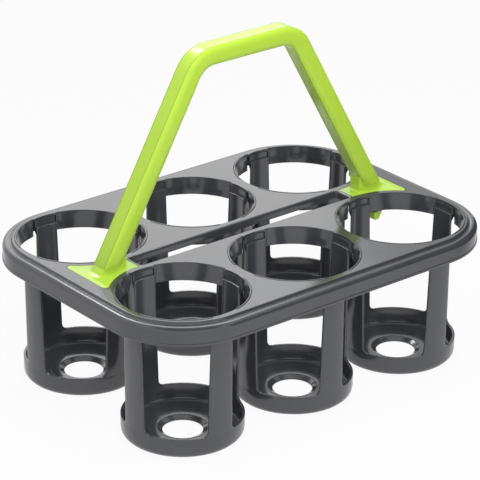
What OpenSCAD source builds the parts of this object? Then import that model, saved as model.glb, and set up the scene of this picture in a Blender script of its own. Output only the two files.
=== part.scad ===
/* [Tray] */
// Deck left between the mouths of neighbouring cups in a row
cup_land = 9; // [8:0.5:30]
// Deck left between the mouths of the two rows
row_land = 27; // [24:0.5:50]
// Tray left between a mouth and the tray's outer face
edge_land = 12.5; // [12:0.5:25]
// Height of the deck's top face above the ground
deck_height = 117; // [90:1:160]
// Thickness of the deck
deck_t = 2; // [1.6:0.1:3]

/* [Rim] */
// How far the tray's corner radius goes beyond a mouth's radius
corner_land = 15; // [0:0.5:16]
// Width of the rim, from the deck's edge to its outer face
rim_w = 9; // [8:0.5:9.5]
// Depth of the skirt below the deck's top face
rim_h = 16.4; // [13:0.2:24]
// Thickness of the skirt
rim_t = 2; // [1.6:0.1:2.6]
// Radius of the bead that rounds the skirt's top edge
bead_r = 4; // [3:0.1:4.5]
// How far the bead's crest lies below the deck
bead_drop = 1.8; // [1:0.1:3]
// Depth of the groove between the deck and the bead
groove_depth = 3.2; // [2:0.1:3.8]
// Round of the deck's edge where it drops into the groove
edge_round = 1.2; // [0.6:0.1:1.6]
// Height of the thicker lip at the foot of the skirt
lip_h = 2; // [1:0.1:4]
// How far that lip stands out from the skirt
lip_step = 0.4; // [0.2:0.1:1]

/* [Cups] */
// Radius of a cup's mouth in the deck
mouth_r = 50; // [48:0.5:60]
// Radius of the seat that the bottle's foot stands in
seat_r = 45; // [38:0.5:46]
// Wall of the seat and of the struts
cup_wall = 2.2; // [1.8:0.1:3]
// Height of the seat's wall above the ground
seat_h = 16.5; // [12:0.5:40]
// Half the width of a strut at the deck
strut_half_top = 9.6; // [7:0.1:12]
// Half the width of a strut at the seat
strut_half_foot = 11.4; // [9:0.1:14]
// Radius of the windows' lower corners, where a strut runs out onto the seat
window_round = 4.5; // [1:0.5:8]
// How much further out the struts' inner faces stand at the top than at the seat
strut_flare = 1.6; // [0:0.1:2]
// Depth of the ledge in the strut's head below the deck's top face
ledge_depth = 7; // [4:0.5:12]
// Width of that ledge
ledge_w = 2; // [1:0.1:2.4]

/* [Collars] */
// Depth of a collar below the deck's top face
collar_h = 15; // [10:0.5:20]
// Thickness of a collar
collar_t = 1.6; // [1.2:0.1:2]
// Width of the lip on top of a collar
collar_lip = 0.9; // [0.6:0.1:1]
// How far that lip stands above the deck
lip_rise = 0.3; // [0.1:0.1:0.6]
// Depth of the groove between the lip and the deck
lip_groove = 0.6; // [0.3:0.1:1]
// Gap between a collar's end and the strut beside it
collar_gap = 1.3; // [0.8:0.1:2.5]

/* [Cup floor] */
// Thickness of the floor
floor_t = 2.4; // [1.8:0.1:3]
// Radius of the drain hole
drain_r = 15.5; // [10:0.5:17]
// Radius of the raised hub round the drain hole
hub_r = 19.5; // [18:0.5:22]
// Radius of the raised disc in the floor
disc_r = 27; // [25:0.5:34]
// Height of the disc above the floor, and of the hub above the disc
floor_step = 1.3; // [0.6:0.1:2]
// Radius of the round at the foot of the seat
foot_round = 4.5; // [2:0.5:5]

/* [Centre slot] */
// Half the width of the slot
slot_half_w = 8; // [6:0.5:10]
// Depth of the slot's wall below the deck's top face
slot_depth = 6.5; // [5:0.5:14]
// Radius that rounds the slot's edge into the deck
slot_round = 1.8; // [1:0.1:1.8]
// Wall that stands between the slot's ends and the handle's foot plates
slot_end_wall = 3; // [2.5:0.5:30]

/* [Handle] */
// Height of the handle's top above the deck
handle_h = 158.6; // [120:1:190]
// From the deck's edge to a leg's outer face, at the deck
leg_inset = 21; // [19:0.5:30]
// Slope of the legs above the deck, in degrees
leg_angle = 60.3; // [58:0.1:64]
// Thickness of the legs and the grip, between their flat faces
bar_t = 14.6; // [12:0.1:15.5]
// Half the width of the flat faces
bar_half_w = 6.6; // [5:0.1:7.5]
// How far the sides bulge beyond the flat faces' edges
bar_crown = 1.9; // [0.8:0.1:2.2]
// Radius of the bend on the outside
bend_r = 31; // [24:1:40]
// Height above the deck where a leg's inner face turns upright
leg_knee = 13; // [10:0.5:30]
// Height above the deck where a leg's bulging sides end
crown_end = 5; // [3:0.5:8]
// How far a leg's side steps in below that
neck_step = 0.6; // [0.2:0.1:1.5]
// How far a leg's outer face runs out onto its foot plate
foot_flare = 4; // [1:0.5:6]

/* [Handle feet] */
// How far a foot plate reaches out beyond the leg's outer face
foot_toe = 10.5; // [8:0.5:12]
// How far a foot plate reaches in from the leg's outer face
foot_heel = 33.5; // [30:0.5:38]
// Thickness of the foot plates
foot_t = 1.2; // [0.8:0.1:1.4]
// Gap round a foot plate in its recess
foot_gap = 0.3; // [0.2:0.05:0.6]
// Ring of deck left between a cup's mouth and a foot plate
foot_to_mouth = 5; // [4.5:0.5:8]
// Half the width of a foot plate at its outer corners
foot_half_w = 24.5; // [20:0.5:25]
// Radius of the foot plates' outer corners
foot_corner_r = 3; // [1:0.5:4]

/* [Tongues and sockets] */
// How far a tongue's outer face stands beyond the leg's
tongue_offset = 1.5; // [-2:0.5:3]
// Thickness of a tongue at the top
tongue_t = 9; // [6:0.5:10]
// Half the width of a tongue
tongue_half_w = 6.5; // [4:0.5:7]
// How far a tongue reaches below the deck's top face
tongue_l = 29; // [24:1:40]
// Height of the tapered tip of a tongue
tongue_tip = 7; // [4:0.5:8]
// How far the tip's outer face slopes inwards
tip_slope = 4; // [1:0.5:5]
// Depth of a socket below the deck's top face
socket_h = 21; // [16:1:28]
// Wall of a socket
socket_t = 2; // [1.6:0.1:2.5]
// Clearance between a tongue and its socket
socket_gap = 0.4; // [0.3:0.05:0.8]

/* [Hidden] */
$fn = 96;
grey = [0.40, 0.41, 0.43];
green = [0.68, 0.88, 0.30];

cup_pitch = 2*mouth_r + cup_land;
row_pitch = 2*mouth_r + row_land;
edge_margin = mouth_r + edge_land;
corner_r = mouth_r + corner_land;
half_x = cup_pitch + edge_margin;
half_y = row_pitch/2 + edge_margin;
deck_half_x = half_x - rim_w;
deck_half_y = half_y - rim_w;
deck_r = corner_r - rim_w;
top_z = deck_height;
under_z = deck_height - deck_t;

// A cup's wall, from the inside out
collar_r = mouth_r + collar_t;
seat_out_r = seat_r + cup_wall;
strut_top_r = seat_r + strut_flare;
ledge_r = strut_top_r + ledge_w;
ledge_z = top_z - ledge_depth;
skirt_bottom = top_z - rim_h;

// The legs stand a set distance in from the deck's edge, and the feet, tongues and slot follow them
leg_half_span = deck_half_x - leg_inset;
foot_half_span = leg_half_span + foot_toe;
foot_inner_x = leg_half_span - foot_heel;
tongue_x = leg_half_span + tongue_offset;
slot_half_l = foot_inner_x - slot_end_wall;

// Half the angle that a strut and its two gaps take out of a collar
gap_angle = asin((strut_half_top + collar_gap)/mouth_r);

// The legs' outer and inner faces are straight lines that meet the deck at a slope
function outer_at(z) = leg_half_span - z/tan(leg_angle);
function inner_at(z) = outer_at(z) - bar_t/sin(leg_angle);
inner_bend_r = bend_r - bar_t;
bend_z = handle_h - bend_r;
bend_x = outer_at(bend_z) - bend_r/sin(leg_angle);
knee_x = inner_at(leg_knee);
neck_half_w = bar_half_w - neck_step;
// A bend is a hair larger than the straight bars, and they run into it this far, so no faces coincide
bend_swell = 0.02;
run_in = 0.4;

foot_arc_r = mouth_r + foot_to_mouth;

// Each cup's place in its row, and its row: the front row from left to right, then the rear row
CUPS = [[-1, -1], [0, -1], [1, -1], [-1, 1], [0, 1], [1, 1]];

function cup_at(cup) = [cup[0]*cup_pitch, cup[1]*row_pitch/2, 0];

module rounded_rect(hx, hy, r) {
    square([2*hx, 2*(hy - r)], center = true);
    square([2*(hx - r), 2*hy], center = true);
    for (sx = [-1, 1], sy = [-1, 1])
        translate([sx*(hx - r), sy*(hy - r)]) circle(r);
}

// Carries a profile round a rounded rectangle. The profile's x is the distance from a corner's centre.
module around(hx, hy, r) {
    for (turn = [0, 180]) rotate(turn) {
        translate([-(hx - r), hy - r, 0]) rotate([90, 0, 90]) linear_extrude(2*(hx - r)) children();
        translate([hx - r, hy - r, 0]) rotate([90, 0, 0]) linear_extrude(2*(hy - r)) children();
        translate([hx - r, hy - r, 0]) rotate_extrude(angle = 90) children();
        translate([-(hx - r), hy - r, 0]) rotate(90) rotate_extrude(angle = 90) children();
    }
}

// A pie slice of half angle a about +X, long enough to leave the cup
module slice(a) {
    far = 2*mouth_r;
    polygon([[0, 0], [far*cos(a), -far*sin(a)], [far*cos(a), far*sin(a)]]);
}

// The outline of a foot plate on the -X side, with the cups' rings cut out of its sides
module foot_outline(grow = 0) {
    difference() {
        translate([-(foot_half_span + foot_inner_x)/2, 0])
            rounded_rect((foot_half_span - foot_inner_x)/2 + grow, foot_half_w + grow, foot_corner_r);
        for (side = [-1, 1])
            translate([-cup_pitch, side*row_pitch/2]) circle(foot_arc_r - grow);
    }
}

module tongue_section(grow = 0) {
    translate([-tongue_x - grow, -tongue_half_w - grow])
        square([tongue_t + 2*grow, 2*(tongue_half_w + grow)]);
}

module tray_deck() {
    color(grey)
    difference() {
        translate([0, 0, under_z]) linear_extrude(deck_t) difference() {
            rounded_rect(deck_half_x, deck_half_y, deck_r);
            rounded_rect(slot_half_l + slot_round, slot_half_w + slot_round, 2*slot_round);
            for (cup = CUPS) translate(cup_at(cup)) {
                circle(mouth_r);
                difference() {
                    circle(collar_r);
                    for (turn = [0:90:270]) rotate(turn) slice(gap_angle);
                }
            }
            for (end = [0, 1]) mirror([end, 0, 0]) tongue_section(socket_gap);
        }
        for (end = [0, 1]) mirror([end, 0, 0])
            translate([0, 0, top_z - foot_t]) linear_extrude(deck_t) foot_outline(foot_gap);
    }
}

// The deck's edge drops into a groove, and a round bead leads over to the upright skirt
module rim_profile() {
    edge = corner_r - rim_w;
    face = corner_r - lip_step;
    bead = [face - bead_r, top_z - bead_drop - bead_r];
    difference() {
        union() {
            translate(bead) circle(bead_r);
            translate([face - rim_t, skirt_bottom]) square([rim_t, bead[1] - skirt_bottom]);
            polygon([[face - rim_t, skirt_bottom], [corner_r, skirt_bottom], [corner_r, skirt_bottom + lip_h],
                     [face, skirt_bottom + lip_h + lip_step], [face - rim_t, skirt_bottom + lip_h + lip_step]]);
            polygon([[edge, under_z - deck_t], [edge, top_z], [edge + edge_round/2, top_z],
                     [edge + edge_round, top_z - edge_round/2], [edge + 1.5*edge_round, top_z - groove_depth],
                     [bead[0], top_z - groove_depth], [bead[0], under_z - deck_t]]);
        }
        translate(bead) circle(bead_r - rim_t);
        translate([edge - 1, skirt_bottom - 1]) square([face - rim_t - edge + 1, bead[1] - skirt_bottom + 1]);
    }
}

module rim_skirt() {
    color(grey) around(half_x, half_y, corner_r) rim_profile();
}

module slot_profile() {
    face = slot_round;
    intersection() {
        translate([face, top_z - slot_depth]) square([slot_round, slot_depth]);
        union() {
            translate([face + slot_round, top_z - slot_round]) circle(slot_round);
            translate([face, top_z - slot_depth]) square([slot_round, slot_depth - slot_round]);
        }
    }
}

module slot_walls() {
    color(grey) around(slot_half_l, slot_half_w, slot_round) slot_profile();
}

module socket(end) {
    color(grey) mirror([end, 0, 0])
        translate([0, 0, top_z - socket_h]) linear_extrude(socket_h - deck_t) difference() {
            tongue_section(socket_gap + socket_t);
            tongue_section(socket_gap);
        }
}

// Four arcs between the struts: a lip above the deck, a groove beside it, and the wall below
module collar(cup) {
    color(grey) translate(cup_at(cup)) difference() {
        rotate_extrude() polygon([
            [mouth_r, top_z - collar_h], [mouth_r, top_z + lip_rise],
            [mouth_r + collar_lip, top_z + lip_rise], [mouth_r + collar_lip, top_z - lip_groove],
            [collar_r, top_z - lip_groove], [collar_r, top_z - collar_h]]);
        for (turn = [0:90:270]) rotate(turn)
            translate([0, 0, top_z - 2*collar_h]) linear_extrude(3*collar_h) slice(gap_angle);
    }
}

module strut_profile() {
    polygon([
        [seat_r, seat_h], [strut_top_r, ledge_z], [ledge_r, ledge_z], [ledge_r, under_z],
        [collar_r, under_z], [collar_r, ledge_z - ledge_w], [strut_top_r + cup_wall, ledge_z - 3*ledge_w],
        [seat_out_r, seat_h]]);
}

// A strut seen from the cup's axis: it tapers upwards and runs out at the foot in two rounds
module strut_face() {
    spread = strut_half_foot + window_round;
    polygon([[-strut_half_foot, seat_h + window_round], [strut_half_foot, seat_h + window_round],
             [strut_half_top, top_z], [-strut_half_top, top_z]]);
    difference() {
        translate([-spread, seat_h]) square([2*spread, window_round]);
        for (side = [-1, 1]) translate([side*spread, seat_h + window_round]) circle(window_round);
    }
}

module struts(cup) {
    color(grey) translate(cup_at(cup)) intersection() {
        rotate_extrude() strut_profile();
        for (turn = [0:90:270]) rotate(turn)
            translate([seat_r/2, 0, 0]) rotate([90, 0, 90]) linear_extrude(seat_r) strut_face();
    }
}

// The floor steps up twice towards a hub, which falls away into the drain hole
module seat_profile() {
    disc_z = floor_t + floor_step;
    hub_z = disc_z + floor_step;
    inner_round = 2*foot_round/3;
    difference() {
        polygon([
            [seat_out_r, 0], [seat_out_r, seat_h], [seat_r, seat_h], [seat_r, floor_t + inner_round],
            [seat_r - inner_round, floor_t], [disc_r + floor_step, floor_t], [disc_r, disc_z],
            [hub_r, disc_z], [hub_r - floor_step/2, hub_z], [hub_r - floor_step, hub_z],
            [drain_r, disc_z - floor_step/2], [drain_r, floor_step], [disc_r - floor_t/2, floor_step],
            [disc_r + floor_step/2, 0]]);
        difference() {
            translate([seat_out_r - foot_round, -1]) square(foot_round + 1);
            translate([seat_out_r - foot_round, foot_round]) circle(foot_round);
        }
    }
}

module seat(cup) {
    color(grey) translate(cup_at(cup)) rotate_extrude() seat_profile();
}

// The handle's section: flat outer and inner faces, and sides that bulge in a round arc
module bar_section(grow = 0) {
    half = bar_half_w + bar_crown + grow;
    crown_r = (bar_t*bar_t/4 + bar_crown*bar_crown)/(2*bar_crown);
    intersection() {
        translate([-grow, -half]) square([bar_t + 2*grow, 2*half]);
        for (side = [-1, 1]) translate([bar_t/2, side*(half - crown_r)]) circle(crown_r);
    }
}

// Half of the handle: half the grip, the bend and a leg that ends in an upright foot
module bail_half() {
    translate([bend_x, 0, bend_z]) {
        translate([run_in, 0, inner_bend_r]) rotate([0, -90, 0]) linear_extrude(bend_x + 2*run_in) bar_section();
        rotate([90, 0, 0]) rotate(90 - leg_angle)
            rotate_extrude(angle = leg_angle) translate([inner_bend_r, 0]) bar_section(bend_swell);
    }
    intersection() {
        translate([bend_x, 0, bend_z]) rotate([0, leg_angle - 90, 0])
            translate([inner_bend_r, 0, -2*handle_h]) linear_extrude(2*handle_h + run_in) bar_section();
        translate([0, -bar_t, crown_end]) cube([2*leg_half_span, 2*bar_t, handle_h]);
    }
    rotate([90, 0, 0]) linear_extrude(2*neck_half_w, center = true)
        polygon([[knee_x, 0], [leg_half_span + foot_flare, 0], [leg_half_span + foot_flare/4, foot_flare/4],
                 [outer_at(crown_end) - neck_step, crown_end], [outer_at(leg_knee) - bar_t/2, leg_knee],
                 [knee_x, leg_knee]]);
}

module handle_bail() {
    color(green) translate([0, 0, top_z]) for (side = [0, 1]) mirror([side, 0, 0]) bail_half();
}

module handle_foot(end) {
    color(green) mirror([end, 0, 0]) translate([0, 0, top_z - foot_t]) linear_extrude(foot_t) foot_outline();
}

// A plug with a tip that slopes in on its outer side
module snap_tongue(end) {
    root = top_z - foot_t;
    tip = top_z - tongue_l;
    color(green) mirror([end, 0, 0])
        rotate([90, 0, 0]) linear_extrude(2*tongue_half_w, center = true) polygon([
            [-tongue_x, root], [-tongue_x, tip + tongue_tip], [-tongue_x + tip_slope, tip],
            [-tongue_x + tongue_t - 1, tip], [-tongue_x + tongue_t, tip + 1], [-tongue_x + tongue_t, root]]);
}

tray_deck();
rim_skirt();
slot_walls();
socket(0);  // socket_left
socket(1);  // socket_right
collar(CUPS[0]);  // collar_front_left
collar(CUPS[1]);  // collar_front_middle
collar(CUPS[2]);  // collar_front_right
collar(CUPS[3]);  // collar_rear_left
collar(CUPS[4]);  // collar_rear_middle
collar(CUPS[5]);  // collar_rear_right
struts(CUPS[0]);  // struts_front_left
struts(CUPS[1]);  // struts_front_middle
struts(CUPS[2]);  // struts_front_right
struts(CUPS[3]);  // struts_rear_left
struts(CUPS[4]);  // struts_rear_middle
struts(CUPS[5]);  // struts_rear_right
seat(CUPS[0]);  // seat_front_left
seat(CUPS[1]);  // seat_front_middle
seat(CUPS[2]);  // seat_front_right
seat(CUPS[3]);  // seat_rear_left
seat(CUPS[4]);  // seat_rear_middle
seat(CUPS[5]);  // seat_rear_right
handle_bail();
handle_foot(0);  // handle_foot_left
handle_foot(1);  // handle_foot_right
snap_tongue(0);  // snap_tongue_left
snap_tongue(1);  // snap_tongue_right
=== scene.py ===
import math
import bmesh
import bpy
import numpy as np
from mathutils import Matrix, Vector


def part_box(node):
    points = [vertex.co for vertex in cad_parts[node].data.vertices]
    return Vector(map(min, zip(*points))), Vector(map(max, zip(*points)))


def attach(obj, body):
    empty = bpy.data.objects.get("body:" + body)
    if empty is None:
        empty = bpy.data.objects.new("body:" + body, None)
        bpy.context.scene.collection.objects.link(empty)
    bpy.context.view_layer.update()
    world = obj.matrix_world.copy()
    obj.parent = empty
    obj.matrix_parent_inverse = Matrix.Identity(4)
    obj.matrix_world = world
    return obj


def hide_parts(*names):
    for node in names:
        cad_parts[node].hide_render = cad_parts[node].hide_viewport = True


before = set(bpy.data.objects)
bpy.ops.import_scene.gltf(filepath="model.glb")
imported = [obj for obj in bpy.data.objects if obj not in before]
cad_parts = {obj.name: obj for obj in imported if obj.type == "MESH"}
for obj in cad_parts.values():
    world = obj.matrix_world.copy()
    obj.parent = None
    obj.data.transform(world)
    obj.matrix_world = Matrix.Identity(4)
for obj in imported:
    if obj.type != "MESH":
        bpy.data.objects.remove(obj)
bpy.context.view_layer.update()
print("frame loaded:", len(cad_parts), "nodes")
mm = 0.001
link = bpy.context.scene.collection.objects.link


def outward(azimuth, elevation):
    # The direction at these two angles in degrees: azimuth from +X, elevation from the ground
    az, el = math.radians(azimuth), math.radians(elevation)
    return Vector((math.cos(el)*math.cos(az), math.cos(el)*math.sin(az), math.sin(el)))


def newMaterial(name):
    material = bpy.data.materials.new(name)
    material.use_nodes = True
    return material, material.node_tree.nodes, material.node_tree.links


def flatSheet(name, width, height, material):
    # One face round its own middle, with corners half a width and half a height away
    corners = [(sx*width/2, sy*height/2, 0) for sx, sy in ((-1, -1), (1, -1), (1, 1), (-1, 1))]
    mesh = bpy.data.meshes.new(name)
    mesh.from_pydata(corners, [], [(0, 1, 2, 3)])
    mesh.materials.append(material)
    return bpy.data.objects.new(name, mesh)


# Camera
cameraView = {
    "azimuth": -129.5,          # degrees from +X to the camera, seen from above
    "elevation": 24.89,
    "roll": 0.48,               # degrees by which the horizon leans
    "distance": 2.0552,
    "target": (0.0, -0.0008, 0.0753),
    "lens": 195.63,
    "sensor": 36,
    "shift": (-0.0048, 0.0736),
    "clip": (0.1, 50),
}


def addCamera(view):
    # The camera looks back along out, and its level right and up turn about it by the roll
    out = outward(view["azimuth"], view["elevation"])
    right = (-out).cross(Vector((0, 0, 1))).normalized()
    up = right.cross(-out)
    roll = math.radians(view["roll"])
    across = math.cos(roll)*right + math.sin(roll)*up
    above = -math.sin(roll)*right + math.cos(roll)*up
    data = bpy.data.cameras.new("camera")
    data.lens, data.sensor_width = view["lens"], view["sensor"]
    data.shift_x, data.shift_y = view["shift"]
    data.clip_start, data.clip_end = view["clip"]
    camera = bpy.data.objects.new("camera", data)
    turned = Matrix((across, above, out)).transposed().to_4x4()
    camera.matrix_world = Matrix.Translation(Vector(view["target"]) + view["distance"]*out) @ turned
    link(camera)
    bpy.context.scene.camera = camera


addCamera(cameraView)
bpy.context.scene.view_settings.view_transform = "Standard"

# Light
# Each softbox: azimuth, elevation, distance, width, height, power, and whether it shades or glosses
softboxes = {
    "key": (-112, 28, 1.9, 0.7, 0.7, 18, "shade"),
    "top": (-120, 80, 0.62, 0.5, 0.5, 2.6, "shade"),
    "rear": (70, 31, 1.25, 1.1, 0.75, 3.25, "gloss"),
    "rearLeft": (80, 45, 1.3, 0.3, 0.2, 2.2, "gloss"),
    "strip": (58, 63, 1.2, 1.0, 0.2, 5, "gloss"),
}
# Each black flag, which only the gloss sees: azimuth, elevation, distance, width, height
flags = {
    "flagAbove": (-120, 56, 1.1, 1.2, 1.1),
    "flagRight": (-24, 12, 0.8, 1.7, 1.0),
    "flagFloor": (-24, -14, 0.46, 0.8, 0.34),
}
flagCloth = {"colour": (0.01, 0.01, 0.01), "roughness": 0.9}
aimHeight = 0.12                # every lamp and flag faces this point above the origin
sky = {"colour": (0.97, 0.98, 1.0), "strength": 0.48}
white = (1, 1, 1, 1)


def standAt(thing, azimuth, elevation, distance):
    out = outward(azimuth, elevation)
    thing.location = Vector((0, 0, aimHeight)) + distance*out
    thing.rotation_euler = out.to_track_quat("Z", "Y").to_euler()
    link(thing)


def addSoftbox(name, azimuth, elevation, distance, width, height, power, use):
    data = bpy.data.lights.new(name, "AREA")
    data.shape = "RECTANGLE"
    data.size, data.size_y = width, height
    data.energy = power
    lamp = bpy.data.objects.new(name, data)
    lamp.visible_glossy = use == "gloss"
    lamp.visible_diffuse = use == "shade"
    standAt(lamp, azimuth, elevation, distance)


def addFlag(name, azimuth, elevation, distance, width, height, material):
    flag = flatSheet(name, width, height, material)
    flag.visible_camera = flag.visible_diffuse = flag.visible_shadow = False
    standAt(flag, azimuth, elevation, distance)


def addLight():
    for name, box in softboxes.items():
        addSoftbox(name, *box)
    cloth, nodes = newMaterial("flagCloth")[:2]
    shader = nodes["Principled BSDF"]
    shader.inputs["Base Color"].default_value = (*flagCloth["colour"], 1)
    shader.inputs["Roughness"].default_value = flagCloth["roughness"]
    for name, box in flags.items():
        addFlag(name, *box, cloth)


def whiteRays(nodes, links):
    # One for the rays that look straight at the background, in the picture, in a gloss or through glass
    path = nodes.new("ShaderNodeLightPath")
    result = path.outputs["Is Camera Ray"]
    for kind in ("Is Glossy Ray", "Is Transmission Ray"):
        larger = nodes.new("ShaderNodeMath")
        larger.operation = "MAXIMUM"
        links.new(result, larger.inputs[0])
        links.new(path.outputs[kind], larger.inputs[1])
        result = larger.outputs[0]
    return result


def addWorld():
    # White where a ray sees the background, and the sky's own tone and strength for shading
    world = bpy.data.worlds.new("studio")
    bpy.context.scene.world = world
    world.use_nodes = True
    nodes, links = world.node_tree.nodes, world.node_tree.links
    nodes.clear()
    seen = nodes.new("ShaderNodeBackground")
    seen.inputs["Color"].default_value = white
    fill = nodes.new("ShaderNodeBackground")
    fill.inputs["Color"].default_value = (*sky["colour"], 1)
    fill.inputs["Strength"].default_value = sky["strength"]
    mix = nodes.new("ShaderNodeMixShader")
    out = nodes.new("ShaderNodeOutputWorld")
    links.new(whiteRays(nodes, links), mix.inputs[0])
    links.new(fill.outputs[0], mix.inputs[1])
    links.new(seen.outputs[0], mix.inputs[2])
    links.new(mix.outputs[0], out.inputs["Surface"])


addLight()
addWorld()

# Floor
floorLook = {"side": 12.0, "below": 0.0005, "colour": (0.72, 0.72, 0.72), "seenWhite": 0.94}


def addFloor(look):
    # Diffuse paint that takes the shadow, under a white that the seen rays get a large share of
    mat, nodes, links = newMaterial("whiteFloor")
    nodes.clear()
    share = nodes.new("ShaderNodeMath")
    share.operation = "MULTIPLY"
    share.inputs[1].default_value = look["seenWhite"]
    paint = nodes.new("ShaderNodeBsdfDiffuse")
    paint.inputs["Color"].default_value = (*look["colour"], 1)
    glow = nodes.new("ShaderNodeEmission")
    glow.inputs["Color"].default_value = white
    mix = nodes.new("ShaderNodeMixShader")
    out = nodes.new("ShaderNodeOutputMaterial")
    links.new(whiteRays(nodes, links), share.inputs[0])
    links.new(share.outputs[0], mix.inputs[0])
    links.new(paint.outputs[0], mix.inputs[1])
    links.new(glow.outputs[0], mix.inputs[2])
    links.new(mix.outputs[0], out.inputs["Surface"])
    floor = flatSheet("floor", look["side"], look["side"], mat)
    floor.location.z = -look["below"]
    link(floor)


addFloor(floorLook)
print("stage set")

# Moulded plastic
greyPlastic = {
    "dark": (0.042, 0.043, 0.048),
    "light": (0.053, 0.054, 0.060),
    "line": 1.0,                # share of the tone that is left along a moulded line, as painted shade there
    "roughness": (0.12, 0.20),
    "bump": 0.02,
    "specular": 0.66,
}
greenPlastic = {
    "dark": (0.405, 0.61, 0.049),
    "light": (0.46, 0.68, 0.060),
    # along the moulded lines the tone keeps this share, as painted shade
    "line": 0.4,
    "roughness": (0.17, 0.24),
    "bump": 0.015,
    "specular": 0.36,
}
mouldFinish = {"cloudScale": 28, "cloudDetail": 4, "grainScale": 900, "grainDetail": 2, "grainDepth": 0.0004,
               "ior": 1.55}


def noise(nodes, links, place, scale, detail):
    texture = nodes.new("ShaderNodeTexNoise")
    texture.inputs["Scale"].default_value = scale
    texture.inputs["Detail"].default_value = detail
    links.new(place.outputs["Object"], texture.inputs["Vector"])
    return texture.outputs["Fac"]


def paintShadeAlongLines(nodes, links, tone, left):
    # Painted shade: along the moulded lines, which the attribute marks, the tone is multiplied by the share
    # that is left, so they look shaded
    mark = nodes.new("ShaderNodeAttribute")
    mark.attribute_name = "paintedLineShade"
    deep = nodes.new("ShaderNodeMix")
    deep.data_type = "RGBA"
    deep.blend_type = "MULTIPLY"
    deep.inputs["B"].default_value = (left, left, left, 1)
    links.new(mark.outputs["Fac"], deep.inputs["Factor"])
    links.new(tone, deep.inputs["A"])
    return deep.outputs["Result"]


def mouldedPlastic(name, look, finish):
    # Two close tones in slow clouds, a gloss that varies with them, the fine grain of a worn mould, and
    # painted shade along the marked lines
    mat, nodes, links = newMaterial(name)
    shader = nodes["Principled BSDF"]
    place = nodes.new("ShaderNodeTexCoord")
    clouds = noise(nodes, links, place, finish["cloudScale"], finish["cloudDetail"])
    grain = noise(nodes, links, place, finish["grainScale"], finish["grainDetail"])
    tone = nodes.new("ShaderNodeMix")
    tone.data_type = "RGBA"
    tone.inputs["A"].default_value = (*look["dark"], 1)
    tone.inputs["B"].default_value = (*look["light"], 1)
    gloss = nodes.new("ShaderNodeMapRange")
    gloss.inputs["To Min"].default_value, gloss.inputs["To Max"].default_value = look["roughness"]
    bump = nodes.new("ShaderNodeBump")
    bump.inputs["Strength"].default_value = look["bump"]
    bump.inputs["Distance"].default_value = finish["grainDepth"]
    links.new(clouds, tone.inputs["Factor"])
    links.new(clouds, gloss.inputs["Value"])
    links.new(grain, bump.inputs["Height"])
    colour = tone.outputs["Result"]
    # Painted shade darkens the tone along the moulded lines
    if look["line"] < 1:
        colour = paintShadeAlongLines(nodes, links, colour, look["line"])
    links.new(colour, shader.inputs["Base Color"])
    links.new(gloss.outputs["Result"], shader.inputs["Roughness"])
    links.new(bump.outputs["Normal"], shader.inputs["Normal"])
    shader.inputs["IOR"].default_value = finish["ior"]
    shader.inputs["Specular IOR Level"].default_value = look["specular"]
    return mat


grey = mouldedPlastic("greyPlastic", greyPlastic, mouldFinish)
green = mouldedPlastic("greenPlastic", greenPlastic, mouldFinish)
for name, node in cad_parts.items():
    node.data.materials.clear()
    node.data.materials.append(green if name.startswith(("handle", "snap")) else grey)


# Shaping helpers
def roundedOutline(points, radii, steps=6):
    # A closed outline in which every corner is an arc: the arc's centre lies on the corner's
    # bisector, at radius / sin(half the corner's angle) from the corner.
    points = np.asarray(points, float)
    radii = np.broadcast_to(np.asarray(radii, float), len(points))
    nearlyStraight = 1.55       # half of a corner's angle, in radians
    out = []
    for before, corner, after, radius in zip(np.roll(points, 1, 0), points, np.roll(points, -1, 0), radii):
        toBefore = (before - corner)/np.linalg.norm(before - corner)
        toAfter = (after - corner)/np.linalg.norm(after - corner)
        half = 0.5*math.acos(np.clip(toBefore @ toAfter, -1, 1))
        if radius <= 0 or half > nearlyStraight:
            out.append(corner[None])
            continue
        bisector = (toBefore + toAfter)/np.linalg.norm(toBefore + toAfter)
        centre = corner + bisector*radius/math.sin(half)
        start = corner + toBefore*radius/math.tan(half) - centre
        end = corner + toAfter*radius/math.tan(half) - centre
        first = math.atan2(start[1], start[0])
        sweep = (math.atan2(end[1], end[0]) - first + math.pi) % (2*math.pi) - math.pi
        a = first + sweep*np.linspace(0, 1, steps)
        out.append(centre + radius*np.column_stack([np.cos(a), np.sin(a)]))
    return np.concatenate(out)


def roundedBoxes(lowX, highX, lowY, highY, edge, steps, across=0):
    # One rounded rectangle per row: a quarter circle of radius edge stands in each corner, and across
    # more points lie along each of the two sides that run in x
    corner = np.linspace(0, 0.5*math.pi, steps)
    x, y = [], []
    for k, (right, upper) in enumerate([(1, 1), (0, 1), (0, 0), (1, 0)]):
        a = corner + k*0.5*math.pi
        x.append((highX - edge if right else lowX + edge) + edge*np.cos(a))
        y.append((highY - edge if upper else lowY + edge) + edge*np.sin(a))
        if across and right == upper:
            share = np.linspace(1, 0, across + 2)[1:-1] if upper else np.linspace(0, 1, across + 2)[1:-1]
            x.append(lowX + edge + (highX - lowX - 2*edge)*share)
            y.append((highY if upper else lowY) + 0*x[-1])
    return np.concatenate(x, 1), np.concatenate(y, 1)


def carryRound(profile, halfX, halfY, radius, steps=24):
    # Carries a profile round a rounded rectangle. The profile's x is the distance from a corner's centre.
    angles = np.concatenate([np.linspace(0, 0.5*math.pi, steps) + k*0.5*math.pi for k in range(4)])
    signs = np.array([(1, 1), (-1, 1), (-1, -1), (1, -1)], float).repeat(steps, 0)
    centres = signs*np.array([halfX - radius, halfY - radius])
    out = np.empty((len(angles), len(profile), 3))
    out[..., 0] = centres[:, :1] + np.cos(angles)[:, None]*profile[:, 0]
    out[..., 1] = centres[:, 1:] + np.sin(angles)[:, None]*profile[:, 0]
    out[..., 2] = profile[:, 1]
    return out


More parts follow.
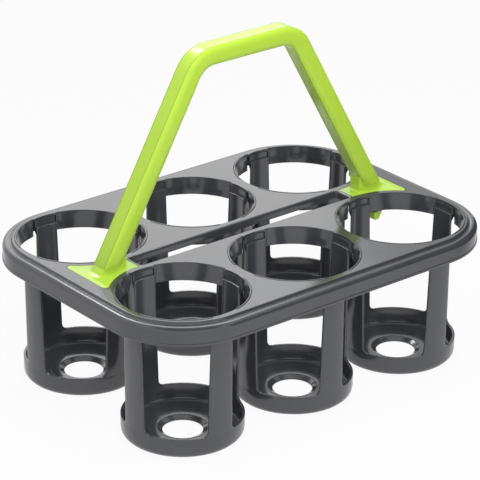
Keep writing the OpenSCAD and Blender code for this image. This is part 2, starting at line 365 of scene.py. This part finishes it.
def turn(profile, centre, angles):
    # Turns a profile (radius, height) about an upright axis, through the given angles
    out = np.empty((len(angles), len(profile), 3))
    out[..., 0] = centre[0] + np.cos(angles)[:, None]*profile[:, 0]
    out[..., 1] = centre[1] + np.sin(angles)[:, None]*profile[:, 0]
    out[..., 2] = profile[:, 1]
    return out


def slab(outline, low, high, edge, steps=4):
    # A flat outline raised from low to high, both edges rounded: points move in along their normals
    ahead, behind = np.roll(outline, -1, 0), np.roll(outline, 1, 0)
    along = ahead - behind
    along /= np.linalg.norm(along, axis=1)[:, None]
    area = 0.5*np.sum(outline[:, 0]*ahead[:, 1] - ahead[:, 0]*outline[:, 1])
    inward = np.column_stack([-along[:, 1], along[:, 0]])*np.sign(area)
    a = np.linspace(0, 0.5*math.pi, steps)
    insets = np.concatenate([edge*(1 - np.sin(a)), edge*(1 - np.cos(a))])
    heights = np.concatenate([low + edge*(1 - np.cos(a)), high - edge + edge*np.sin(a)])
    grid = np.empty((len(insets), len(outline), 3))
    grid[..., :2] = outline + inward*insets[:, None, None]
    grid[..., 2] = heights[:, None]
    return grid


def skin(name, grid, material, body, replaced=(), loop=True, caps=False, sharpAngle=40):
    # grid[i, j]: station i along the piece, point j round its closed section. Quads join neighbours;
    # loop closes the stations into a ring, caps closes the two ends with one face each.
    grid = np.asarray(grid, float)
    grids = grid if grid.ndim == 4 else grid[None]
    verts, faces, base = [], [], 0
    for one in grids:
        rows, cols = one.shape[:2]
        i = np.arange(rows if loop else rows - 1)[:, None]
        j = np.arange(cols)[None, :]
        a, b = i*cols + j, i*cols + (j + 1) % cols
        c, d = (i + 1) % rows*cols + (j + 1) % cols, (i + 1) % rows*cols + j
        faces += (np.stack([a, b, c, d], -1).reshape(-1, 4) + base).tolist()
        if caps:
            faces += [(base + np.arange(cols)).tolist(), (base + (rows - 1)*cols + np.arange(cols)).tolist()]
        verts.append(one.reshape(-1, 3))
        base += rows*cols
    mesh = bpy.data.meshes.new(name)
    mesh.from_pydata(np.concatenate(verts), [], faces)
    work = bmesh.new()
    work.from_mesh(mesh)
    bmesh.ops.recalc_face_normals(work, faces=work.faces)
    work.to_mesh(mesh)
    work.free()
    mesh.shade_smooth()
    mesh.set_sharp_from_angle(angle=math.radians(sharpAngle))
    mesh.materials.append(material)
    piece = bpy.data.objects.new(name, mesh)
    link(piece)
    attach(piece, body)
    if replaced:
        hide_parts(*replaced)
    return piece


# Places from the frame
cupNames = ["front_left", "front_middle", "front_right", "rear_left", "rear_middle", "rear_right"]
cupAxes = {}
for cupName in cupNames:
    low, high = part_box("seat_" + cupName)
    cupAxes[cupName] = (0.5*(low.x + high.x), 0.5*(low.y + high.y))
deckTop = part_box("tray_deck")[1].z
sides = ((-1, "left"), (1, "right"))

# Rim. Its sizes, as those of all the pieces, are in mm.
rimForm = {
    "outer": 65.0,              # radius of the tray's corners
    "width": 9.0,               # from the flat deck to the outermost face
    "deck": 4.0,                # thickness of its inner edge, which the flat deck runs into
    "underFlat": 1.0,           # width of the flat below that edge
    "edgeFall": (0.96, 1.92),   # from the flat deck to the start and the end of the fall into the groove
    "groove": 2.3,
    "grooveEnd": 1.5,           # before the bead's middle
    "steer": 8.0,               # depth of a last point that only steers the round before it
    "edgeRounds": [0, 1.0, 0.5, 0.2, 0],
    "bead": 4.0,
    "beadSweep": (118, 110),    # degrees of its upper face and of the hollow behind it
    "beadPoints": (16, 10),
    "drop": 1.8,                # from the deck to the top of the bead
    "depth": 16.4,              # from the deck to the foot
    "wall": 2.0,
    "lip": 2.0,                 # height of the thicker lip at the foot
    "step": 0.4,                # by which the lip stands out
    "skirtRounds": [0, 0.3, 0.3, 0.6, 0.5, 0],
}


def rimProfile(form):
    # Deck edge, groove, round bead, upright skirt with a thicker lip, and back up the inside
    top, wall, bead = deckTop/mm, form["wall"], form["bead"]
    outer, face, inner = form["outer"], form["outer"] - form["step"], form["outer"] - form["width"]
    beadX, beadZ = face - bead, top - form["drop"] - bead
    fallFrom, fallTo = form["edgeFall"]
    groove = top - form["groove"]
    deckEdge = roundedOutline(
        [(inner, top), (inner + fallFrom, top), (inner + fallTo, groove), (beadX - form["grooveEnd"], groove),
         (beadX, top - form["steer"])], form["edgeRounds"], 7)[:-1]
    overSweep, backSweep = np.radians(form["beadSweep"])
    overPoints, backPoints = form["beadPoints"]
    over, back = np.linspace(overSweep, 0, overPoints), np.linspace(0, backSweep, backPoints)
    hollow = bead - wall
    beadTop = np.column_stack([beadX + bead*np.cos(over), beadZ + bead*np.sin(over)])
    beadUnder = np.column_stack([beadX + hollow*np.cos(back), beadZ + hollow*np.sin(back)])
    foot, lip = top - form["depth"], top - form["depth"] + form["lip"]
    skirt = roundedOutline(
        [(face, beadZ), (face, lip + form["step"]), (outer, lip), (outer, foot), (face - wall, foot),
         (face - wall, beadZ)], form["skirtRounds"], 5)[1:-1]
    under = [(inner + form["underFlat"], top - form["deck"]), (inner, top - form["deck"])]
    return np.concatenate([deckEdge, beadTop, skirt, beadUnder, under])*mm


def makeRim(form):
    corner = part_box("rim_skirt")[1]
    grid = carryRound(rimProfile(form), corner.x, corner.y, form["outer"]*mm)
    skin("rim", grid, grey, "carrier", ["rim_skirt"])


makeRim(rimForm)

# Slot, with a wall as thick as the radius of its round
slotForm = {"round": 1.8, "depth": 6.5, "footRounds": [0, 0.4, 0.3, 0]}


def makeSlot(form):
    # The wall's top rolls over in a quarter circle, so the deck runs into the slot without an edge
    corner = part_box("slot_walls")[1]
    r, top, foot = form["round"], deckTop/mm, deckTop/mm - form["depth"]
    a = np.linspace(0.5*math.pi, math.pi, 8)
    lead = np.column_stack([2*r + r*np.cos(a), top - r + r*np.sin(a)])
    rest = roundedOutline([(r, top - r), (r, foot), (2*r, foot), (2*r, top)], form["footRounds"], 4)[1:-1]
    profile = np.concatenate([lead, rest])*mm
    grid = carryRound(profile, corner.x - r*mm, corner.y - r*mm, r*mm, 8)
    skin("slotWall", grid, grey, "carrier", ["slot_walls"])


makeSlot(slotForm)
print("rim and slot made")

# Cups
cupForm = {"mouth": 50.0, "seat": 45.0, "wall": 2.2, "sill": 16.5}     # radii, wall and the seat's height
seatForm = {
    "around": 144,              # sections
    "floor": 2.4,
    "step": 1.3,                # by which the disc stands above the floor
    "disc": 27.0,               # radius
    "discFall": 0.9,
    "hub": 19.5,                # radius of the ring where the cone round the drain starts
    "hubRound": (0.3, 0.4),     # inwards and down, where the ring turns into the cone
    "drain": 15.5,              # radius
    "lip": 0.3,                 # height of the drain's lower edge
    "lipWall": 1.1,             # height of the drain's upright wall
    "lipWidth": 1.3,            # where the underside starts to rise
    "hollow": 1.2,              # of the underside below the disc
    "hollowEnd": (-1.2, 0.6),   # from the disc's radius
    "rounds": [6.2, 0.45, 0.45, 3.4, 0.4, 0.5, 0.3, 0.2, 0.3, 0.3, 0.4, 0.5, 0.4, 0.4],
}


def seatProfile(cup, form):
    # Outer wall and its round foot, sill, inner wall, floor, disc, cone and drain, and back underneath
    inner, outer, sill = cup["seat"], cup["seat"] + cup["wall"], cup["sill"]
    disc, hub, drain, lip, hollow = (form[key] for key in ("disc", "hub", "drain", "lip", "hollow"))
    floor, raised = form["floor"], form["floor"] + form["step"]
    hubIn, hubDown = form["hubRound"]
    hollowFrom, hollowTo = form["hollowEnd"]
    points = [(outer, 0), (outer, sill), (inner, sill), (inner, floor), (disc + form["discFall"], floor),
              (disc, raised), (hub, raised), (hub - hubIn, raised - hubDown), (drain, lip + form["lipWall"]),
              (drain, lip), (drain + form["lipWidth"], lip), (hub, hollow), (disc + hollowFrom, hollow),
              (disc + hollowTo, 0)]
    return roundedOutline(points, form["rounds"])*mm


def makeSeats(cup, form):
    profile = seatProfile(cup, form)
    angles = np.linspace(0, 2*math.pi, form["around"], endpoint=False)
    for cupName, axis in cupAxes.items():
        skin("seatShell_" + cupName, turn(profile, axis, angles), grey, "carrier", ["seat_" + cupName])


strutForm = {
    "foot": 11.4,               # half widths at the sill and at the deck
    "top": 9.6,
    "flare": 1.6,               # by which the inner face leans out on its way up
    "windowRound": 4.5,
    "sink": 1.0,                # of the foot in the seat's wall
    "straight": (8.0, 7.0),     # from the sill and up to the ledge
    "shoulder": (6.0, 2.0),     # below the ledge, where the outer face steps out
    "headWall": 1.6,            # beyond the mouth's radius
    "ledgeDepth": 7.0,          # below the deck
    "ledge": 2.0,               # by which the inner face steps back above it
    "tread": 0.35,              # and at its edge
    "ledgeRows": (-6, -2, -0.5, -0.15, 0, 0.05, 0.4),       # heights of sections, from the ledge
    "headRows": (-0.3, 0),      # and from the upper end
    "deck": 2.0,                # from the deck's face to the upper end
    "edge": 0.85,
    "edgeShare": 0.45,          # of the thickness, where that is less
}


def strutGrid(cup, form, turned, centre):
    # Sections stacked upwards: the foot runs out in a quarter circle, the sides taper evenly, and the
    # head steps back from the mouth at a ledge
    top, sill, windowRound = deckTop/mm, cup["sill"], form["windowRound"]
    ledge, under = top - form["ledgeDepth"], top - form["deck"]
    head = cup["seat"] + form["flare"]
    shoulderFrom, shoulderTo = ledge - np.array(form["shoulder"])
    foot = np.linspace(0, 0.5*math.pi, 7)
    z = np.concatenate([
        [sill - form["sink"]], sill + windowRound*(1 - np.cos(foot)),
        np.linspace(sill + form["straight"][0], ledge - form["straight"][1], 8),
        ledge + np.array(form["ledgeRows"]), under + np.array(form["headRows"])])
    rising = np.clip((z - sill - windowRound)/(top - sill - windowRound), 0, 1)
    run = np.clip((sill + windowRound - z)/windowRound, 0, 1)
    half = form["foot"] + (form["top"] - form["foot"])*rising + windowRound*(1 - np.sqrt(1 - run**2))
    inner = cup["seat"] + form["flare"]*np.clip((z - sill)/(ledge - sill), 0, 1)
    inner[z > ledge] = head + form["ledge"]
    inner[np.isclose(z, ledge)] = head + form["tread"]
    headOut = cup["mouth"] + form["headWall"]
    outer = np.interp(z, [sill, shoulderFrom, shoulderTo, under],
                      [cup["seat"] + cup["wall"], head + cup["wall"], headOut, headOut])
    edge = np.minimum(form["edge"], form["edgeShare"]*(outer - inner))
    half, inner, outer, edge = half[:, None], inner[:, None], outer[:, None], edge[:, None]
    along, radius = roundedBoxes(-half, half, inner, outer, edge, 4, 9)
    a = along/radius + turned
    x, y = radius*np.cos(a), radius*np.sin(a)
    return np.stack([x, y, z[:, None] + 0*a], -1)*mm + [*centre, 0]


def makeStruts(cup, form):
    for cupName, centre in cupAxes.items():
        grids = np.array([strutGrid(cup, form, k*0.5*math.pi, centre) for k in range(4)])
        skin("cupStruts_" + cupName, grids, grey, "carrier", ["struts_" + cupName], loop=False, caps=True)


collarForm = {
    "wall": 1.6,
    "height": 15.0,
    "lip": 1.1,
    "rise": 0.3,                # of the lip above the deck
    "groove": 0.7,              # from the deck down to the lip's underside
    "rounds": [0.4, 0.35, 0.3, 0.15, 0.1, 0.4],
    "gap": 1.3,                 # between a collar's end and the strut beside it
    "endRound": (0.3, 0.25),    # along the arc, and how far the last section is drawn in
    "along": 30,                # sections
}


def collarProfile(cup, form):
    # An upright wall round the mouth, with a lip that stands a little above the deck
    r, top = cup["mouth"], deckTop/mm
    foot, crest, groove = top - form["height"], top + form["rise"], top - form["groove"]
    lip, wall = r + form["lip"], r + form["wall"]
    return roundedOutline([(r, foot), (r, crest), (lip, crest), (lip, groove), (wall, groove), (wall, foot)],
                          form["rounds"], 4)


def makeCollars(cup, form):
    # Four arcs between the struts; each end closes over a slightly smaller section, which rounds it
    run, drawIn = form["endRound"]
    profile = collarProfile(cup, form)
    middle = profile.mean(0)
    drawn = profile - np.clip(profile - middle, -drawIn, drawIn)
    reach = 0.25*math.pi - math.asin((strutForm["top"] + form["gap"])/cup["mouth"])
    full = reach - run/cup["mouth"]
    for cupName, centre in cupAxes.items():
        grids = []
        for k in range(4):
            between = (k + 0.5)*0.5*math.pi
            ends = turn(drawn*mm, centre, between + np.array([-reach, reach]))
            body = turn(profile*mm, centre, between + np.linspace(-full, full, form["along"]))
            grids.append(np.concatenate([ends[:1], body, ends[1:]]))
        grids = np.array(grids)
        skin("mouthCollar_" + cupName, grids, grey, "carrier", ["collar_" + cupName], loop=False, caps=True)


makeSeats(cupForm, seatForm)
makeStruts(cupForm, strutForm)
makeCollars(cupForm, collarForm)
print("cups made")

# Handle: a bar with crowned sides, bent twice, on a narrower neck over each foot plate
handleForm = {
    "halfSpan": 141.5,          # from the middle to the leg's outer face at the deck
    "slope": 60.3,              # degrees
    "height": 158.6,            # above the deck
    "bend": 31.0,               # outer radius
    "thick": 14.6,
    "half": 6.6,                # half width at the flat faces
    "crown": 1.9,
    "power": 3.4,               # the crown falls off as this power of the distance from its middle
    "crownEnd": 5.0,            # above the deck, where the bar ends
    # Each row of the moulded line: depth, distance in from the side, share of the painted shade
    "line": [(0, 1.3, 0), (0, 0.9, 0), (0.2, 0.5, 1), (0, 0.1, 0.2), (0.1, 0, 0)],
    "endRound": (0.45, 0.4),    # how far up the leg it starts, and how far the end is drawn in
    "endSoft": 0.3,             # share of both that the next section has
    "sections": (14, 22),       # along the leg and round the bend
}


def barSection(form):
    # (height above the inner face, distance across, painted shade mark of the moulded line): flat faces, and
    # sides w + c (1 - |s|^p), with a fine moulded line beside each corner
    t, w, c = form["thick"], form["half"], form["crown"]
    s = np.linspace(-1, 1, 33)[1:-1]
    side = np.column_stack([0.5*t*(1 + s), w + c*(1 - np.abs(s)**form["power"]), 0*s])
    near = np.array(form["line"])*[1, -1, 1] + [0, w, 0]
    far = near[::-1]*[-1, 1, 1] + [t, 0, 0]
    side = np.concatenate([near, side, far])
    return np.concatenate([side, (side*[1, -1, 1])[::-1]])


def barGrid(form):
    # The section is carried up the leg and round the bend to the grip's middle, then mirrored. The bend
    # turns about (bendX, bendZ), and a point at height u of the section lies its inner radius + u from there.
    section = barSection(form)
    slope = math.radians(form["slope"])
    sin, cos = math.sin(slope), math.cos(slope)
    bendZ = form["height"] - form["bend"]
    bendX = form["halfSpan"] - bendZ/math.tan(slope) - form["bend"]/sin
    legRows, bendRows = form["sections"]
    lean = np.concatenate([np.full(legRows, slope), np.linspace(slope, 0, bendRows)[1:]])[:, None]
    down = np.concatenate([np.linspace(1, 0, legRows), np.zeros(bendRows - 1)])[:, None]
    reach = form["bend"] - form["thick"] + section[:, 0]
    z = bendZ + reach*np.cos(lean)
    run = down*(z - form["crownEnd"])/sin
    right = np.stack([bendX + reach*np.sin(lean) + run*cos, section[:, 1] + 0*z, z - run*sin], -1)
    # The leg's cut end is rounded: the first section is drawn in, and the two after it stand higher
    far, drawIn = form["endRound"]
    first, lift = right[0], np.array([-cos, 0, sin])*far
    fromMiddle = first - 0.5*(first.max(0) + first.min(0))
    drawn = first - np.clip(fromMiddle, -drawIn, drawIn)*[1, 1, 0]
    share = form["endSoft"]
    soft = first + share*lift - np.clip(fromMiddle, -share*drawIn, share*drawIn)*[1, 1, 0]
    right = np.concatenate([[drawn, soft, first + lift], right[1:]])
    left = (right*[-1, 1, 1])[::-1]
    return np.concatenate([right, left])*mm + [0, 0, deckTop]


def makeBar(form):
    grid = barGrid(form)
    piece = skin("handleBar", grid, green, "handle", ["handle_bail"], loop=False, caps=True, sharpAngle=50)
    # The attribute carries the painted shade along the moulded lines
    mark = piece.data.attributes.new("paintedLineShade", "FLOAT", "POINT")
    mark.data.foreach_set("value", np.tile(barSection(form)[:, 2], len(grid)).astype(np.float32))


neckForm = {
    "step": 0.6,                # by which it is narrower than the bar
    "flare": 4.0,               # outwards, at the plate
    "flareLeft": 0.25,          # share of the flare at the second height
    "outerAt": [0, 1, 5, 13],   # heights above the deck: plate, flare, waist and knee, where the neck ends
    "spread": 1.0,              # round where it meets the plate
    "spreadOut": 0.2,           # share of the spread on the outer face
    "edge": 0.7,
    "rows": [0, 0.1, 0.25, 0.45, 0.7, 1.0, 1.5, 2.2, 3.2, 4.2, 5.0, 6.5, 9.0, 12.2, 12.8, 13.0],
    "drawnAt": [12.2, 12.8, 13.0],
    "drawn": [0, 0.2, 0.7],     # by which the inner face draws in at these heights
}


def makeNeck(bar, form, side, sideName):
    # Slices from the plate up into the bar: the foot of the neck spreads in a quarter circle
    slope, z, span = math.radians(bar["slope"]), np.array(form["rows"])[:, None], bar["halfSpan"]
    waist, knee = (span - height/math.tan(slope) for height in form["outerAt"][2:])
    flare, inner = form["flare"], knee - bar["thick"]/math.sin(slope)
    outer = np.interp(z, form["outerAt"], [span + flare, span + form["flareLeft"]*flare, waist - form["step"],
                                           knee - 0.5*bar["thick"]])
    spread = form["spread"]*(1 - np.sqrt(1 - (1 - np.clip(z/form["spread"], 0, 1))**2))
    low = inner - spread + np.interp(z, form["drawnAt"], form["drawn"])
    high = outer + form["spreadOut"]*spread
    half = bar["half"] - form["step"] + spread
    x, y = roundedBoxes(low, high, -half, half, form["edge"], 5)
    grid = np.stack([side*x, y, z + deckTop/mm + 0*x], -1)*mm
    skin("handleNeck_" + sideName, grid, green, "handle", loop=False, caps=True, sharpAngle=50)


footForm = {
    "toe": 10.5,                # from the leg's outer face outwards
    "heel": 33.5,               # and inwards
    "thick": 1.2,
    "half": 24.5,               # half width at the toe
    "corner": 3.0,
    "tip": 0.4,                 # round of the other corners
    "ring": 55.0,               # radius of the circles that its sides follow
    "edge": 0.35,
}


def footOutline(form, side):
    # A rounded plate between the four cups; its sides follow circles round the neighbouring mouths
    cupX, cupY = abs(cupAxes["front_right"][0])/mm, abs(cupAxes["front_right"][1])/mm
    near, far = handleForm["halfSpan"] - form["heel"], handleForm["halfSpan"] + form["toe"]
    ring = form["ring"]
    ends = np.array([near - cupX, math.sqrt(ring**2 - (cupY - form["half"])**2)])
    a = np.linspace(*np.arcsin(ends/ring), 26)
    arc = np.column_stack([cupX + ring*np.sin(a), cupY - ring*np.cos(a)])
    half = np.concatenate([arc, [(far, form["half"])]])
    radii = np.zeros(len(half))
    radii[[0, -2]] = form["tip"]
    radii[-1] = form["corner"]
    outline = np.concatenate([half, (half*[1, -1])[::-1]])
    return roundedOutline(outline, np.concatenate([radii, radii[::-1]]))*[side, 1]


def makePlate(form, side, sideName):
    grid = slab(footOutline(form, side), deckTop/mm - form["thick"], deckTop/mm, form["edge"])*mm
    skin("footPlate_" + sideName, grid, green, "handle", ["handle_foot_" + sideName], loop=False, caps=True)


tongueForm = {
    "offset": 1.5,              # from the leg's outer face to the tongue's
    "thick": 9.0,
    "half": 6.5,
    "long": 29.0,               # below the deck
    "tip": 7.0,                 # height of the slope at its end
    "slope": 4.0,
    "chamfer": 1.0,             # of the inner edge at its end
    "rounds": [0, 1.0, 0.6, 0.5, 0.5, 0],
    "edge": 0.5,
}


def makeTongue(form, side, sideName):
    # A side view raised across the tongue's width, then stood up
    root, tip = deckTop/mm - footForm["thick"], deckTop/mm - form["long"]
    outer, chamfer = handleForm["halfSpan"] + form["offset"], form["chamfer"]
    inner = outer - form["thick"]
    points = [(outer, root), (outer, tip + form["tip"]), (outer - form["slope"], tip), (inner + chamfer, tip),
              (inner, tip + chamfer), (inner, root)]
    flat = slab(roundedOutline(points, form["rounds"], 5), -form["half"], form["half"], form["edge"])
    grid = np.stack([side*flat[..., 0], flat[..., 2], flat[..., 1]], -1)*mm
    skin("tongue_" + sideName, grid, green, "handle", ["snap_tongue_" + sideName], loop=False, caps=True)


socketForm = {
    "wall": 2.0,
    "corner": 0.5,              # inner radius
    "deck": 2.0,                # from the deck's face to the tube's upper and lower end
    "depth": 21.0,
    "rounds": [0, 0.4, 0.4, 0],
}


def makeSocket(form, sideName):
    # A rectangular tube under the deck; its outer corners are the wall's thickness rounder than the inner
    low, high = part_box("socket_" + sideName)
    inner, outer = form["corner"], form["corner"] + form["wall"]
    top, foot = deckTop/mm - form["deck"], deckTop/mm - form["depth"]
    profile = roundedOutline([(outer, top), (outer, foot), (inner, foot), (inner, top)], form["rounds"], 4)
    grid = carryRound(profile*mm, 0.5*(high.x - low.x), 0.5*(high.y - low.y), outer*mm, 7)
    grid += [0.5*(low.x + high.x), 0, 0]
    skin("socketTube_" + sideName, grid, grey, "carrier", ["socket_" + sideName])


makeBar(handleForm)
for side, sideName in sides:
    makeNeck(handleForm, neckForm, side, sideName)
    makePlate(footForm, side, sideName)
for side, sideName in sides:
    makeTongue(tongueForm, side, sideName)
for side, sideName in sides:
    makeSocket(socketForm, sideName)
print("handle made")
